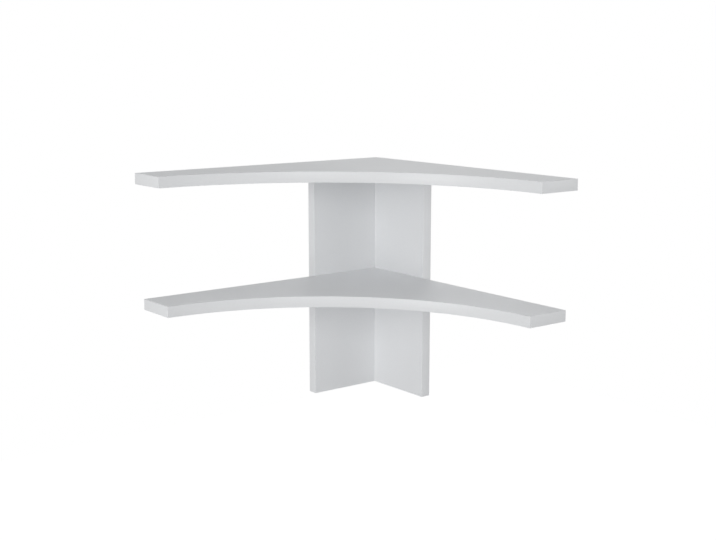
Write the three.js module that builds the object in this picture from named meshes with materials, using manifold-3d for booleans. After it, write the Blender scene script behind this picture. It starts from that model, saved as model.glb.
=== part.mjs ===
// A corner shelf unit for the place where two walls meet: two shelves with concave fronts on two uprights.
// Millimetres, +Z up. The origin is the foot of the walls' corner. The back wall is the plane y = 0, with the
// unit on its -Y side, and the left wall is the plane x = 0, with the unit on its +X side.

import * as THREE from 'three';
import { mergeVertices, toCreasedNormals } from 'three/addons/utils/BufferGeometryUtils.js';
import Module from 'manifold-3d';

const wasm = await Module();
wasm.setup();

// Boards, at their finished sizes with the edge bands on
const BOARD = 22;
const TOP_SIDE = 600;
const END_DEPTH = 95;
const UPRIGHT_REACH = 166;
const LOWER_BAY = 242;
const UPPER_BAY = 224;
const BAND = 1;

// Room round every fitting in its hole, and how far a cut runs past the face that it starts from
const FIT = 0.3;
const OVERRUN = 1;

// Connecting screws with a hexagon socket, sunk in the wall side of the uprights
const SCREW_LENGTH = 50;
const SCREW_HEAD_DIAMETER = 10;
const SCREW_HEAD_RIM = 0.8;
const SCREW_HEAD_HEIGHT = 3.6;
const SCREW_COLLAR_DIAMETER = 7;
const SCREW_COLLAR_END = 15;
const SCREW_THREAD_DIAMETER = 6.2;
const SCREW_TIP_DIAMETER = 3;
const SCREW_TIP_LENGTH = 5;
const SCREW_SOCKET_WIDTH = 4;
const SCREW_SOCKET_DEPTH = 3;

// Beech dowels, the shorter end in the face of one board and the longer end in the edge of the other
const DOWEL_DIAMETER = 8;
const DOWEL_LENGTH = 30;
const DOWEL_FACE_DEPTH = 12;
const DOWEL_CHAMFER = 1;

// Cams in the uprights' wall sides, and the bolts that they draw down from the top shelf
const CAM_DIAMETER = 15;
const CAM_PAST_BOLT = 5;
const CAM_BELOW_TOP = 34;
const CAM_CROSS_LENGTH = 8;
const CAM_CROSS_WIDTH = 1.6;
const CAM_CROSS_DEPTH = 3;
const CAM_CORE_DIAMETER = 6;
const CAM_GROOVE_TURN = THREE.MathUtils.degToRad(110);
const BOLT_THREAD_DIAMETER = 5.6;
const BOLT_THREAD_LENGTH = 11;
const BOLT_THREAD_CHAMFER = 0.8;
const BOLT_COLLAR_DIAMETER = 7.4;
const BOLT_COLLAR_HEIGHT = 2.5;
const BOLT_SHAFT_DIAMETER = 6;
const BOLT_NECK_DIAMETER = 4;
const BOLT_NECK_LENGTH = 6;
const BOLT_HEAD_DIAMETER = 7;
const BOLT_HEAD_HEIGHT = 4;
const BOLT_HEAD_CHAMFER = 1.2;

// Keyhole hanger plates let into the uprights' wall sides, with two countersunk screws each
const PLATE_LENGTH = 52;
const PLATE_WIDTH = 20;
const PLATE_THICKNESS = 2;
const PLATE_CORNER_RADIUS = 3;
const PLATE_SCREW_SPACING = 40;
const KEYHOLE_DIAMETER = 10;
const KEYHOLE_SLOT_WIDTH = 5;
const KEYHOLE_SLOT_RISE = 10;
const POCKET_SIDE = 1.5;
const POCKET_DEPTH = 10;
const HANGER_SCREW_LENGTH = 14;
const HANGER_SCREW_HEAD_DIAMETER = 6.4;
const HANGER_SCREW_HEAD_RIM = 0.3;
const HANGER_SCREW_HEAD_HEIGHT = 1.9;
const HANGER_SCREW_DIAMETER = 3.4;
const HANGER_SCREW_TIP_LENGTH = 3;
const HANGER_SCREW_TIP_DIAMETER = 1;
const HANGER_SCREW_CROSS_LENGTH = 3.6;
const HANGER_SCREW_CROSS_WIDTH = 0.8;
const HANGER_SCREW_CROSS_DEPTH = 1.2;

// Where the fittings lie, as shares of the uprights' height or of their reach from the inner corner
const CORNER_SCREW_SHARES = [0.1, 0.4, 0.9];
const CORNER_DOWEL_SHARES = [0.25, 0.7];
const SHELF_SCREW_SHARES = [0.24, 0.76];
const SHELF_DOWEL_SHARES = [0.5];
const CAM_SHARES = [0.24, 0.76];
const TOP_DOWEL_SHARES = [0.4, 0.6];
const HANGER_REACH_SHARE = 0.5;
const HANGER_HEIGHT_SHARE = 0.79;

// Counts of facets, and the sharpest turn between two facets that still shades as round
const ROUND_SIDES = 16;
const FRONT_STEPS = 24;
const CORNER_STEPS = 4;
const CREASE = THREE.MathUtils.degToRad(30);

const LOWER_SIDE = TOP_SIDE - BOARD;
const LOWER_TOP = LOWER_BAY + BOARD;
const UPRIGHT_HEIGHT = LOWER_TOP + UPPER_BAY;
const UPRIGHT_FRONT = BOARD + UPRIGHT_REACH;
const BOARD_MIDDLE = BOARD / 2;
const CAM_HEIGHT = UPRIGHT_HEIGHT - CAM_BELOW_TOP;

const UP = new THREE.Vector3(0, 0, 1);
const BACK_WALL = wallOf(new THREE.Vector3(1, 0, 0), new THREE.Vector3(0, -1, 0));
const LEFT_WALL = wallOf(new THREE.Vector3(0, -1, 0), new THREE.Vector3(1, 0, 0));
const DOWNWARD = new THREE.Quaternion().setFromAxisAngle(new THREE.Vector3(1, 0, 0), Math.PI);

const melamine = new THREE.MeshStandardMaterial({ color: 0xeff0f1, roughness: 0.64, metalness: 0 });
const bandPlastic = new THREE.MeshStandardMaterial({ color: 0xeeeff0, roughness: 0.42, metalness: 0 });
const beech = new THREE.MeshStandardMaterial({ color: 0xd3b083, roughness: 0.7, metalness: 0 });
const zincPlatedSteel = new THREE.MeshStandardMaterial({ color: 0xb8bcc2, roughness: 0.32, metalness: 1 });
const castZinc = new THREE.MeshStandardMaterial({ color: 0x9fa2a6, roughness: 0.5, metalness: 1 });

// A wall is known by the way along it from the corner and the way out of it into the room. Its turn sets a
// fitting's own Z out of the wall and its own Y up.
function wallOf(along, out) {
  const across = new THREE.Vector3().crossVectors(UP, out);
  const basis = new THREE.Matrix4().makeBasis(across, UP, out);
  const turn = new THREE.Quaternion().setFromRotationMatrix(basis);
  return { along, out, turn };
}

function spot(wall, along, out, up) {
  const point = new THREE.Vector3(0, 0, up);
  point.addScaledVector(wall.along, along);
  point.addScaledVector(wall.out, out);
  return point;
}

function solidOf(geometry) {
  const bare = geometry.clone();
  bare.deleteAttribute('normal');
  bare.deleteAttribute('uv');
  const merged = mergeVertices(bare);
  const triangles = [];
  for (let i = 0; i < merged.index.count; i += 3) {
    const [a, b, c] = merged.index.array.slice(i, i + 3);
    if (a !== b && b !== c && c !== a) triangles.push(a, b, c);
  }
  const vertProperties = new Float32Array(merged.attributes.position.array);
  const triVerts = new Uint32Array(triangles);
  return new wasm.Manifold(new wasm.Mesh({ numProp: 3, vertProperties, triVerts }));
}

function geometryOf(solid) {
  const { vertProperties, triVerts } = solid.getMesh();
  const geometry = new THREE.BufferGeometry();
  geometry.setAttribute('position', new THREE.BufferAttribute(vertProperties, 3));
  geometry.setIndex(new THREE.BufferAttribute(triVerts, 1));
  return toCreasedNormals(geometry, CREASE);
}

function cut(geometry, cutters) {
  const solid = cutters.reduce((left, cutter) => left.subtract(solidOf(cutter)), solidOf(geometry));
  return geometryOf(solid);
}

// A round body about its own Z axis, from a profile of radius and height that starts and ends on the axis
function turned(profile) {
  const points = profile.map(([radius, height]) => new THREE.Vector2(radius, height));
  return new THREE.LatheGeometry(points, ROUND_SIDES).rotateX(Math.PI / 2);
}

function bar(width, depth, from, to) {
  return new THREE.BoxGeometry(width, depth, to - from).translate(0, 0, (from + to) / 2);
}

// A cross recess sunk into the head of a fitting, which lies at height zero
function crossBars(length, width, depth) {
  return [bar(length, width, -OVERRUN, depth), bar(width, length, -OVERRUN, depth)];
}

function placed(geometry, place) {
  const matrix = new THREE.Matrix4().compose(place.position, place.turn, new THREE.Vector3(1, 1, 1));
  return geometry.clone().applyMatrix4(matrix);
}

function meshAt(name, geometry, material, position, turn = new THREE.Quaternion()) {
  const mesh = new THREE.Mesh(geometry, material.clone());
  mesh.name = name;
  mesh.position.copy(position);
  mesh.quaternion.copy(turn);
  return mesh;
}

// A board or band whose geometry has its own origin at this position. The holes are given where they lie on
// the whole unit.
function drilled(name, geometry, material, position, holes) {
  const away = position.clone().negate();
  const moved = holes.map((hole) => hole.clone().translate(away.x, away.y, away.z));
  return meshAt(name, cut(geometry, moved), material, position);
}

function block(name, material, corner, opposite, holes = []) {
  const box = new THREE.Box3().setFromPoints([corner, opposite]);
  const size = box.getSize(new THREE.Vector3());
  const middle = box.getCenter(new THREE.Vector3());
  return drilled(name, new THREE.BoxGeometry(size.x, size.y, size.z), material, middle, holes);
}

// The concave front is an arc round the free corner of the shelf's square. It stops a trim short of the arms'
// ends, where the end bands cover it.
function addFront(shape, side, radius, fromLeft) {
  const nip = Math.asin(BAND / radius);
  const right = Math.PI / 2 + nip;
  const left = Math.PI - nip;
  if (fromLeft) {
    shape.absarc(side, -side, radius, left, right, true);
  } else {
    shape.absarc(side, -side, radius, right, left, false);
  }
}

function extruded(shape, height, steps) {
  return new THREE.ExtrudeGeometry(shape, { depth: height, bevelEnabled: false, curveSegments: steps });
}

function shelfCore(side) {
  const shape = new THREE.Shape();
  shape.moveTo(BAND, -BAND);
  shape.lineTo(side - BAND, -BAND);
  addFront(shape, side, side - END_DEPTH + BAND, false);
  shape.lineTo(BAND, BAND - side);
  shape.closePath();
  return extruded(shape, BOARD, FRONT_STEPS);
}

function frontBand(side) {
  const shape = new THREE.Shape();
  addFront(shape, side, side - END_DEPTH + BAND, false);
  addFront(shape, side, side - END_DEPTH, true);
  shape.closePath();
  return extruded(shape, BOARD, FRONT_STEPS);
}

// One shelf with its five bands. Inset is how far its back edges stand off the walls.
function shelf(name, side, inset, underside, holes) {
  const corner = new THREE.Vector3(inset, -inset, underside);
  const end = inset + side;
  const core = end - BAND;
  const front = inset + END_DEPTH;
  const top = underside + BOARD;
  const group = new THREE.Group();
  group.add(drilled(name, shelfCore(side), melamine, corner, holes));
  group.add(drilled(`${name}_front_band`, frontBand(side), bandPlastic, corner, []));
  const backStart = spot(BACK_WALL, inset, inset, underside);
  const backEnd = spot(BACK_WALL, core, inset + BAND, top);
  group.add(block(`${name}_back_band`, bandPlastic, backStart, backEnd, holes));
  const leftStart = spot(LEFT_WALL, inset + BAND, inset, underside);
  const leftEnd = spot(LEFT_WALL, core, inset + BAND, top);
  group.add(block(`${name}_left_band`, bandPlastic, leftStart, leftEnd, holes));
  for (const [arm, wall] of [['right', BACK_WALL], ['left', LEFT_WALL]]) {
    const start = spot(wall, core, inset, underside);
    const stop = spot(wall, end, front, top);
    group.add(block(`${name}_${arm}_end_band`, bandPlastic, start, stop));
  }
  return group;
}

// The back upright runs into the corner and the left upright butts against it. Both have banded front and
// bottom edges, and the back one's edge in the corner is banded too.
function backUpright(holes) {
  const core = spot(BACK_WALL, UPRIGHT_FRONT - BAND, BOARD, UPRIGHT_HEIGHT);
  const group = new THREE.Group();
  group.add(block('back_upright', melamine, spot(BACK_WALL, BAND, 0, BAND), core, holes));
  const cornerEnd = spot(BACK_WALL, BAND, BOARD, UPRIGHT_HEIGHT);
  group.add(block('back_upright_corner_band', bandPlastic, spot(BACK_WALL, 0, 0, 0), cornerEnd, holes));
  addUprightBands(group, 'back_upright', BACK_WALL, BAND);
  return group;
}

function leftUpright(holes) {
  const core = spot(LEFT_WALL, UPRIGHT_FRONT - BAND, BOARD, UPRIGHT_HEIGHT);
  const group = new THREE.Group();
  group.add(block('left_upright', melamine, spot(LEFT_WALL, BOARD, 0, BAND), core, holes));
  addUprightBands(group, 'left_upright', LEFT_WALL, BOARD);
  return group;
}

function addUprightBands(group, name, wall, start) {
  const frontStart = spot(wall, UPRIGHT_FRONT - BAND, 0, 0);
  const frontEnd = spot(wall, UPRIGHT_FRONT, BOARD, UPRIGHT_HEIGHT);
  group.add(block(`${name}_front_band`, bandPlastic, frontStart, frontEnd));
  const bottomEnd = spot(wall, UPRIGHT_FRONT - BAND, BOARD, BAND);
  group.add(block(`${name}_bottom_band`, bandPlastic, spot(wall, start, 0, 0), bottomEnd));
}

// Fittings, each in its own frame: height zero is the face or the joint that it starts from. Slack widens a
// fitting to the shape of its hole, and start is where that shape begins.
function connectingScrewBody(slack, start) {
  return turned([
    [0, start],
    [SCREW_HEAD_DIAMETER / 2 + slack, start],
    [SCREW_HEAD_DIAMETER / 2 + slack, SCREW_HEAD_RIM],
    [SCREW_COLLAR_DIAMETER / 2 + slack, SCREW_HEAD_HEIGHT],
    [SCREW_COLLAR_DIAMETER / 2 + slack, SCREW_COLLAR_END],
    [SCREW_THREAD_DIAMETER / 2 + slack, SCREW_COLLAR_END + slack],
    [SCREW_THREAD_DIAMETER / 2 + slack, SCREW_LENGTH - SCREW_TIP_LENGTH],
    [SCREW_TIP_DIAMETER / 2 + slack, SCREW_LENGTH + slack],
    [0, SCREW_LENGTH + slack],
  ]);
}

function connectingScrew() {
  const across = SCREW_SOCKET_WIDTH / Math.sqrt(3);
  const depth = SCREW_SOCKET_DEPTH + OVERRUN;
  const socket = new THREE.CylinderGeometry(across, across, depth, 6).rotateX(Math.PI / 2);
  socket.translate(0, 0, depth / 2 - OVERRUN);
  return cut(connectingScrewBody(0, 0), [socket]);
}

function dowel(slack) {
  const radius = DOWEL_DIAMETER / 2 + slack;
  const from = -DOWEL_FACE_DEPTH - slack;
  const to = DOWEL_LENGTH - DOWEL_FACE_DEPTH + slack;
  return turned([
    [0, from],
    [radius - DOWEL_CHAMFER, from],
    [radius, from + DOWEL_CHAMFER],
    [radius, to - DOWEL_CHAMFER],
    [radius - DOWEL_CHAMFER, to],
    [0, to],
  ]);
}

function camBoltBody(slack) {
  const thread = BOLT_THREAD_DIAMETER / 2 + slack;
  const tip = -BOLT_THREAD_LENGTH - slack;
  const head = BOLT_HEAD_DIAMETER / 2 + slack;
  const headStart = CAM_BELOW_TOP - BOLT_HEAD_HEIGHT / 2;
  const headEnd = headStart + BOLT_HEAD_HEIGHT;
  const neckStart = headStart - BOLT_NECK_LENGTH;
  return turned([
    [0, tip],
    [thread - BOLT_THREAD_CHAMFER, tip],
    [thread, tip + BOLT_THREAD_CHAMFER],
    [thread, 0],
    [BOLT_COLLAR_DIAMETER / 2 + slack, 0],
    [BOLT_COLLAR_DIAMETER / 2 + slack, BOLT_COLLAR_HEIGHT],
    [BOLT_SHAFT_DIAMETER / 2 + slack, BOLT_COLLAR_HEIGHT],
    [BOLT_SHAFT_DIAMETER / 2 + slack, neckStart],
    [BOLT_NECK_DIAMETER / 2 + slack, neckStart],
    [BOLT_NECK_DIAMETER / 2 + slack, headStart],
    [head, headStart],
    [head, headEnd - BOLT_HEAD_CHAMFER],
    [head - BOLT_HEAD_CHAMFER, headEnd],
    [0, headEnd],
  ]);
}

// The bolt's thread bites into the shelf, and below it one straight bore takes collar, shaft and head
function camBoltHole() {
  const thread = BOLT_THREAD_DIAMETER / 2 + FIT;
  const bore = BOLT_COLLAR_DIAMETER / 2 + FIT;
  const end = CAM_BELOW_TOP + BOLT_HEAD_HEIGHT;
  const tip = -BOLT_THREAD_LENGTH - FIT;
  return turned([[0, tip], [thread, tip], [thread, 0], [bore, 0], [bore, end], [0, end]]);
}

function camHole() {
  const radius = CAM_DIAMETER / 2 + FIT;
  const floor = BOARD_MIDDLE + CAM_PAST_BOLT + FIT;
  return turned([[0, -OVERRUN], [radius, -OVERRUN], [radius, floor], [0, floor]]);
}

// A sector of the cam round its axis, through which the bolt's neck passes while the cam turns
function camGroove() {
  const inner = CAM_CORE_DIAMETER / 2;
  const outer = CAM_DIAMETER / 2 + OVERRUN;
  const width = BOLT_NECK_DIAMETER + FIT + FIT;
  const start = Math.PI / 2;
  const shape = new THREE.Shape();
  shape.absarc(0, 0, outer, start, start + CAM_GROOVE_TURN, false);
  shape.absarc(0, 0, inner, start + CAM_GROOVE_TURN, start, true);
  shape.closePath();
  return extruded(shape, width, ROUND_SIDES / 4).translate(0, 0, BOARD_MIDDLE - width / 2);
}

function cam() {
  const radius = CAM_DIAMETER / 2;
  const floor = BOARD_MIDDLE + CAM_PAST_BOLT;
  const body = turned([[0, 0], [radius, 0], [radius, floor], [0, floor]]);
  const mouthRadius = BOLT_HEAD_DIAMETER / 2 + FIT;
  const mouthFrom = -BOLT_HEAD_HEIGHT / 2 - FIT;
  const mouthTo = radius + OVERRUN;
  const mouth = new THREE.CylinderGeometry(mouthRadius, mouthRadius, mouthTo - mouthFrom, ROUND_SIDES);
  mouth.translate(0, (mouthFrom + mouthTo) / 2, BOARD_MIDDLE);
  const cross = crossBars(CAM_CROSS_LENGTH, CAM_CROSS_WIDTH, CAM_CROSS_DEPTH);
  return cut(body, [mouth, camGroove(), ...cross]);
}

function roundedPlate(grow) {
  const x = PLATE_WIDTH / 2 + grow;
  const y = PLATE_LENGTH / 2 + grow;
  const radius = PLATE_CORNER_RADIUS + grow;
  const quarter = Math.PI / 2;
  const shape = new THREE.Shape();
  shape.absarc(x - radius, y - radius, radius, 0, quarter, false);
  shape.absarc(radius - x, y - radius, radius, quarter, Math.PI, false);
  shape.absarc(radius - x, radius - y, radius, Math.PI, Math.PI + quarter, false);
  shape.absarc(x - radius, radius - y, radius, -quarter, 0, false);
  shape.closePath();
  return shape;
}

// The keyhole: a round entry below, and a narrower slot rising from it with a round end
function keyhole() {
  const entry = KEYHOLE_DIAMETER / 2;
  const slot = KEYHOLE_SLOT_WIDTH / 2;
  const side = Math.asin(slot / entry);
  const bottom = -KEYHOLE_SLOT_RISE / 2;
  const top = KEYHOLE_SLOT_RISE / 2;
  const shape = new THREE.Shape();
  shape.absarc(0, bottom, entry, Math.PI / 2 + side, Math.PI * 2 + Math.PI / 2 - side, false);
  shape.absarc(0, top, slot, 0, Math.PI, false);
  shape.closePath();
  return extruded(shape, PLATE_THICKNESS + OVERRUN + OVERRUN, ROUND_SIDES / 4).translate(0, 0, -OVERRUN);
}

// The recess for the plate, and the deeper pocket behind its keyhole for the head of the wall's screw
function hangerRecess() {
  return extruded(roundedPlate(FIT), PLATE_THICKNESS + FIT + OVERRUN, CORNER_STEPS).translate(0, 0, -OVERRUN);
}

function hangerPocket() {
  const radius = KEYHOLE_DIAMETER / 2 + POCKET_SIDE;
  const half = KEYHOLE_SLOT_RISE / 2;
  const shape = new THREE.Shape();
  shape.absarc(0, half, radius, 0, Math.PI, false);
  shape.absarc(0, -half, radius, Math.PI, Math.PI * 2, false);
  shape.closePath();
  return extruded(shape, POCKET_DEPTH + OVERRUN, ROUND_SIDES / 4).translate(0, 0, -OVERRUN);
}

function hangerScrewBody(slack, start) {
  return turned([
    [0, start],
    [HANGER_SCREW_HEAD_DIAMETER / 2 + slack, start],
    [HANGER_SCREW_HEAD_DIAMETER / 2 + slack, HANGER_SCREW_HEAD_RIM],
    [HANGER_SCREW_DIAMETER / 2 + slack, HANGER_SCREW_HEAD_HEIGHT],
    [HANGER_SCREW_DIAMETER / 2 + slack, HANGER_SCREW_LENGTH - HANGER_SCREW_TIP_LENGTH],
    [HANGER_SCREW_TIP_DIAMETER / 2 + slack, HANGER_SCREW_LENGTH + slack],
    [0, HANGER_SCREW_LENGTH + slack],
  ]);
}

function hangerScrew() {
  const cross = crossBars(HANGER_SCREW_CROSS_LENGTH, HANGER_SCREW_CROSS_WIDTH, HANGER_SCREW_CROSS_DEPTH);
  return cut(hangerScrewBody(0, 0), cross);
}

function hangerPlate() {
  const plate = extruded(roundedPlate(0), PLATE_THICKNESS, CORNER_STEPS);
  const up = PLATE_SCREW_SPACING / 2;
  const countersink = hangerScrewBody(FIT, -OVERRUN);
  const holes = [-up, up].map((y) => countersink.clone().translate(0, y, 0));
  return cut(plate, [keyhole(), ...holes]);
}

// Places of the fittings on the whole unit
function reachAt(share) {
  return BOARD + share * UPRIGHT_REACH;
}

function cornerPlaces(shares, depth) {
  return shares.map((share) => ({
    position: spot(BACK_WALL, BOARD_MIDDLE, depth, share * UPRIGHT_HEIGHT),
    turn: BACK_WALL.turn,
  }));
}

function shelfPlaces(wall, shares, depth) {
  return shares.map((share) => ({
    position: spot(wall, reachAt(share), depth, LOWER_BAY + BOARD_MIDDLE),
    turn: wall.turn,
  }));
}

function topPlaces(wall, shares) {
  return shares.map((share) => ({
    position: spot(wall, reachAt(share), BOARD_MIDDLE, UPRIGHT_HEIGHT),
    turn: DOWNWARD,
  }));
}

function camPlaces(wall) {
  return CAM_SHARES.map((share) => ({
    position: spot(wall, reachAt(share), 0, CAM_HEIGHT),
    turn: wall.turn,
  }));
}

function hangerPlace(wall) {
  const height = HANGER_HEIGHT_SHARE * UPRIGHT_HEIGHT;
  return { position: spot(wall, reachAt(HANGER_REACH_SHARE), 0, height), turn: wall.turn };
}

function hangerScrewPlaces(wall) {
  const { position, turn } = hangerPlace(wall);
  const up = PLATE_SCREW_SPACING / 2;
  return [up, -up].map((rise) => ({ position: position.clone().addScaledVector(UP, rise), turn }));
}

function addFittings(group, name, geometry, material, places) {
  places.forEach(({ position, turn }, i) => {
    const number = places.length > 1 ? `_${i + 1}` : '';
    group.add(meshAt(`${name}${number}`, geometry, material, position, turn));
  });
}

function holesAt(geometry, places) {
  return places.map((place) => placed(geometry, place));
}

const screwHole = connectingScrewBody(FIT, -OVERRUN);
const dowelHole = dowel(FIT);
const walls = { back: BACK_WALL, left: LEFT_WALL };

const cornerScrews = cornerPlaces(CORNER_SCREW_SHARES, 0);
const cornerDowels = cornerPlaces(CORNER_DOWEL_SHARES, BOARD);
const cornerHoles = [...holesAt(screwHole, cornerScrews), ...holesAt(dowelHole, cornerDowels)];

function lowerShelfHoles(wall) {
  const screws = shelfPlaces(wall, SHELF_SCREW_SHARES, 0);
  const dowels = shelfPlaces(wall, SHELF_DOWEL_SHARES, BOARD);
  return [...holesAt(screwHole, screws), ...holesAt(dowelHole, dowels)];
}

function topShelfHoles(wall) {
  const bolts = topPlaces(wall, CAM_SHARES);
  const dowels = topPlaces(wall, TOP_DOWEL_SHARES);
  return [...holesAt(camBoltHole(), bolts), ...holesAt(dowelHole, dowels)];
}

function uprightHoles(wall) {
  const plate = [hangerPlace(wall)];
  return [
    ...cornerHoles,
    ...lowerShelfHoles(wall),
    ...topShelfHoles(wall),
    ...holesAt(camHole(), camPlaces(wall)),
    ...holesAt(hangerRecess(), plate),
    ...holesAt(hangerPocket(), plate),
    ...holesAt(hangerScrewBody(FIT, -OVERRUN), hangerScrewPlaces(wall)),
  ];
}

function fittings() {
  const group = new THREE.Group();
  addFittings(group, 'corner_screw', connectingScrew(), zincPlatedSteel, cornerScrews);
  addFittings(group, 'corner_dowel', dowel(0), beech, cornerDowels);
  for (const [side, wall] of Object.entries(walls)) {
    const screws = shelfPlaces(wall, SHELF_SCREW_SHARES, 0);
    const dowels = shelfPlaces(wall, SHELF_DOWEL_SHARES, BOARD);
    addFittings(group, `${side}_shelf_screw`, connectingScrew(), zincPlatedSteel, screws);
    addFittings(group, `${side}_shelf_dowel`, dowel(0), beech, dowels);
    addFittings(group, `${side}_cam`, cam(), castZinc, camPlaces(wall));
    addFittings(group, `${side}_cam_bolt`, camBoltBody(0), zincPlatedSteel, topPlaces(wall, CAM_SHARES));
    addFittings(group, `${side}_top_dowel`, dowel(0), beech, topPlaces(wall, TOP_DOWEL_SHARES));
    addFittings(group, `${side}_hanger_plate`, hangerPlate(), zincPlatedSteel, [hangerPlace(wall)]);
    addFittings(group, `${side}_hanger_screw`, hangerScrew(), zincPlatedSteel, hangerScrewPlaces(wall));
  }
  return group;
}

const topHoles = Object.values(walls).flatMap(topShelfHoles);
const lowerHoles = Object.values(walls).flatMap(lowerShelfHoles);

const group = new THREE.Group();
group.add(shelf('top_shelf', TOP_SIDE, 0, UPRIGHT_HEIGHT, topHoles));
group.add(shelf('lower_shelf', LOWER_SIDE, BOARD, LOWER_BAY, lowerHoles));
group.add(backUpright(uprightHoles(BACK_WALL)));
group.add(leftUpright(uprightHoles(LEFT_WALL)));
group.add(fittings());

export default group;
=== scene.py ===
import math

import bmesh
import bpy
from mathutils import Matrix, Vector


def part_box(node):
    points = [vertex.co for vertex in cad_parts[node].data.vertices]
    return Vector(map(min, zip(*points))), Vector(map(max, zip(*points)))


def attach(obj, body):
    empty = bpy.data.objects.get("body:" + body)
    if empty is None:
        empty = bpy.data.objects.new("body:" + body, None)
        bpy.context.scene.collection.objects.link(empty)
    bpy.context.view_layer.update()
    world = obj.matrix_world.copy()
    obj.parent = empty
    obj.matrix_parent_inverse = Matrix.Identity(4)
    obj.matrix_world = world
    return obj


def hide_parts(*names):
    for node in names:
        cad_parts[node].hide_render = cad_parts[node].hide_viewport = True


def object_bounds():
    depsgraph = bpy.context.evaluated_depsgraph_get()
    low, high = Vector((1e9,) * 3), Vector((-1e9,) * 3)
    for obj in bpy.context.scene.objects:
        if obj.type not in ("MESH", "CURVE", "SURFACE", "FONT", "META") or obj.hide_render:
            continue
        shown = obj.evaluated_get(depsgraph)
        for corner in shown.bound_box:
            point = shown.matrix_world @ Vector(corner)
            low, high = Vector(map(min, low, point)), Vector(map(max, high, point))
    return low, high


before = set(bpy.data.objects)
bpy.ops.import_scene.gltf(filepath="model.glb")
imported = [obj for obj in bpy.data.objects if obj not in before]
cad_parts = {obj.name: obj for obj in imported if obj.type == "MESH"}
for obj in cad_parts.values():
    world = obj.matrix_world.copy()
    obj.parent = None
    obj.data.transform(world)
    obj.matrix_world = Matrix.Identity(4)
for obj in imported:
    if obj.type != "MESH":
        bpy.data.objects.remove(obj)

cad_low, cad_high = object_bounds()
unit_middle = (cad_low + cad_high) / 2

# Thickness of the bands and boards and depth of an arm's end, as one end band in the frame shows them
END_LOW, END_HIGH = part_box("top_shelf_right_end_band")
BAND = END_HIGH.x - END_LOW.x
BOARD = END_HIGH.z - END_LOW.z
END_DEPTH = END_HIGH.y - END_LOW.y

# The milled round on a band's outer edges, and the bevel that shows as the glue line
BAND_ARRIS = 0.0006
ARRIS_STEPS = 3
GLUE_LINE = 0.00015

# Steps along a concave front and round a turned shape, and the angle past which an edge looks sharp
FRONT_STEPS = 128
ROUND_STEPS = 48
SMOOTH_LIMIT = math.radians(35)

# Room round each fitting in its hole, and how far a cutter runs past the face that it starts from
FIT = 0.0003
OVERRUN = 0.001

# The rise that a level edge stays under, the distance within which two points are one, the length of edge
# that a cut mustn't leave, and the angle under which two faces are one
LEVEL_WITHIN = 0.0001
SAME_PLACE = 0.0000001
SLIVER = 0.00001
FLAT = math.radians(0.05)

# One ridge of a thread, as shares of the pitch: where it starts to rise, and where its crest begins and ends
THREAD_RISE = 0.45
THREAD_CREST_START = 0.68
THREAD_CREST_END = 0.77

# Connecting screws
SCREW_LOW, SCREW_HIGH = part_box("corner_screw_1")
SCREW_LENGTH = SCREW_HIGH.y - SCREW_LOW.y
SCREW_HEAD_DIAMETER = 0.010
SCREW_HEAD_RIM = 0.0008
SCREW_HEAD_HEIGHT = 0.0036
SCREW_HEAD_ARRIS = 0.0003
SCREW_COLLAR_DIAMETER = 0.007
SCREW_COLLAR_END = 0.015
SCREW_CREST_DIAMETER = 0.0062
SCREW_ROOT_DIAMETER = 0.0046
SCREW_PITCH = 0.003
SCREW_TIP_LENGTH = 0.005
SCREW_TIP_DIAMETER = 0.003
SCREW_SOCKET_WIDTH = 0.004
SCREW_SOCKET_DEPTH = 0.003
SCREW_SOCKET_MOUTH = 0.0004
SCREW_SOCKET_SIDES = 6

# Dowels
DOWEL_CHAMFER = 0.001
DOWEL_FLUTES = 20
DOWEL_POINTS_PER_FLUTE = 4
DOWEL_FLUTE_DEPTH = 0.0003

# Cams and the bolts that they draw down
CAM_DIAMETER = 0.015
CAM_PAST_BOLT = 0.005
CAM_ARRIS = 0.0004
CAM_DISH_DIAMETER = 0.0125
CAM_DISH_DEPTH = 0.0005
CAM_CROSS_LENGTH = 0.008
CAM_CROSS_WIDTH = 0.0016
CAM_CROSS_DEPTH = 0.003
CAM_CORE_DIAMETER = 0.006
CAM_GROOVE_TURN = math.radians(110)
CAM_GROOVE_STEPS = 24
BOLT_CREST_DIAMETER = 0.0056
BOLT_ROOT_DIAMETER = 0.0040
BOLT_PITCH = 0.0016
BOLT_THREAD_LENGTH = 0.011
BOLT_COLLAR_DIAMETER = 0.0074
BOLT_COLLAR_HEIGHT = 0.0025
BOLT_SHAFT_DIAMETER = 0.006
BOLT_NECK_DIAMETER = 0.004
BOLT_NECK_LENGTH = 0.006
BOLT_HEAD_DIAMETER = 0.007
BOLT_HEAD_HEIGHT = 0.004
BOLT_CHAMFER = 0.0012
BOLT_LENGTH = 0.047

# Keyhole hanger plates and their screws. The bevel for a slot's full round end stays a hair under half its
# width, so that its two sides don't meet in one edge.
FULL_ROUND = 0.999
PLATE_CORNER_RADIUS = 0.003
PLATE_CORNER_STEPS = 8
PLATE_ARRIS = 0.0002
PLATE_SCREW_SPACING = 0.040
KEYHOLE_DIAMETER = 0.010
KEYHOLE_SLOT_WIDTH = 0.005
KEYHOLE_SLOT_RISE = 0.010
POCKET_SIDE = 0.0015
POCKET_DEPTH = 0.010
HANGER_SCREW_LENGTH = 0.014
HANGER_SCREW_HEAD_DIAMETER = 0.0064
HANGER_SCREW_HEAD_RIM = 0.0003
HANGER_SCREW_HEAD_HEIGHT = 0.0019
HANGER_SCREW_CREST_DIAMETER = 0.0034
HANGER_SCREW_ROOT_DIAMETER = 0.0024
HANGER_SCREW_PITCH = 0.0013
HANGER_SCREW_TIP_LENGTH = 0.003
HANGER_SCREW_TIP_DIAMETER = 0.001
HANGER_SCREW_POINT = 0.0003
HANGER_SCREW_CROSS_LENGTH = 0.0036
HANGER_SCREW_CROSS_WIDTH = 0.0008
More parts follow.
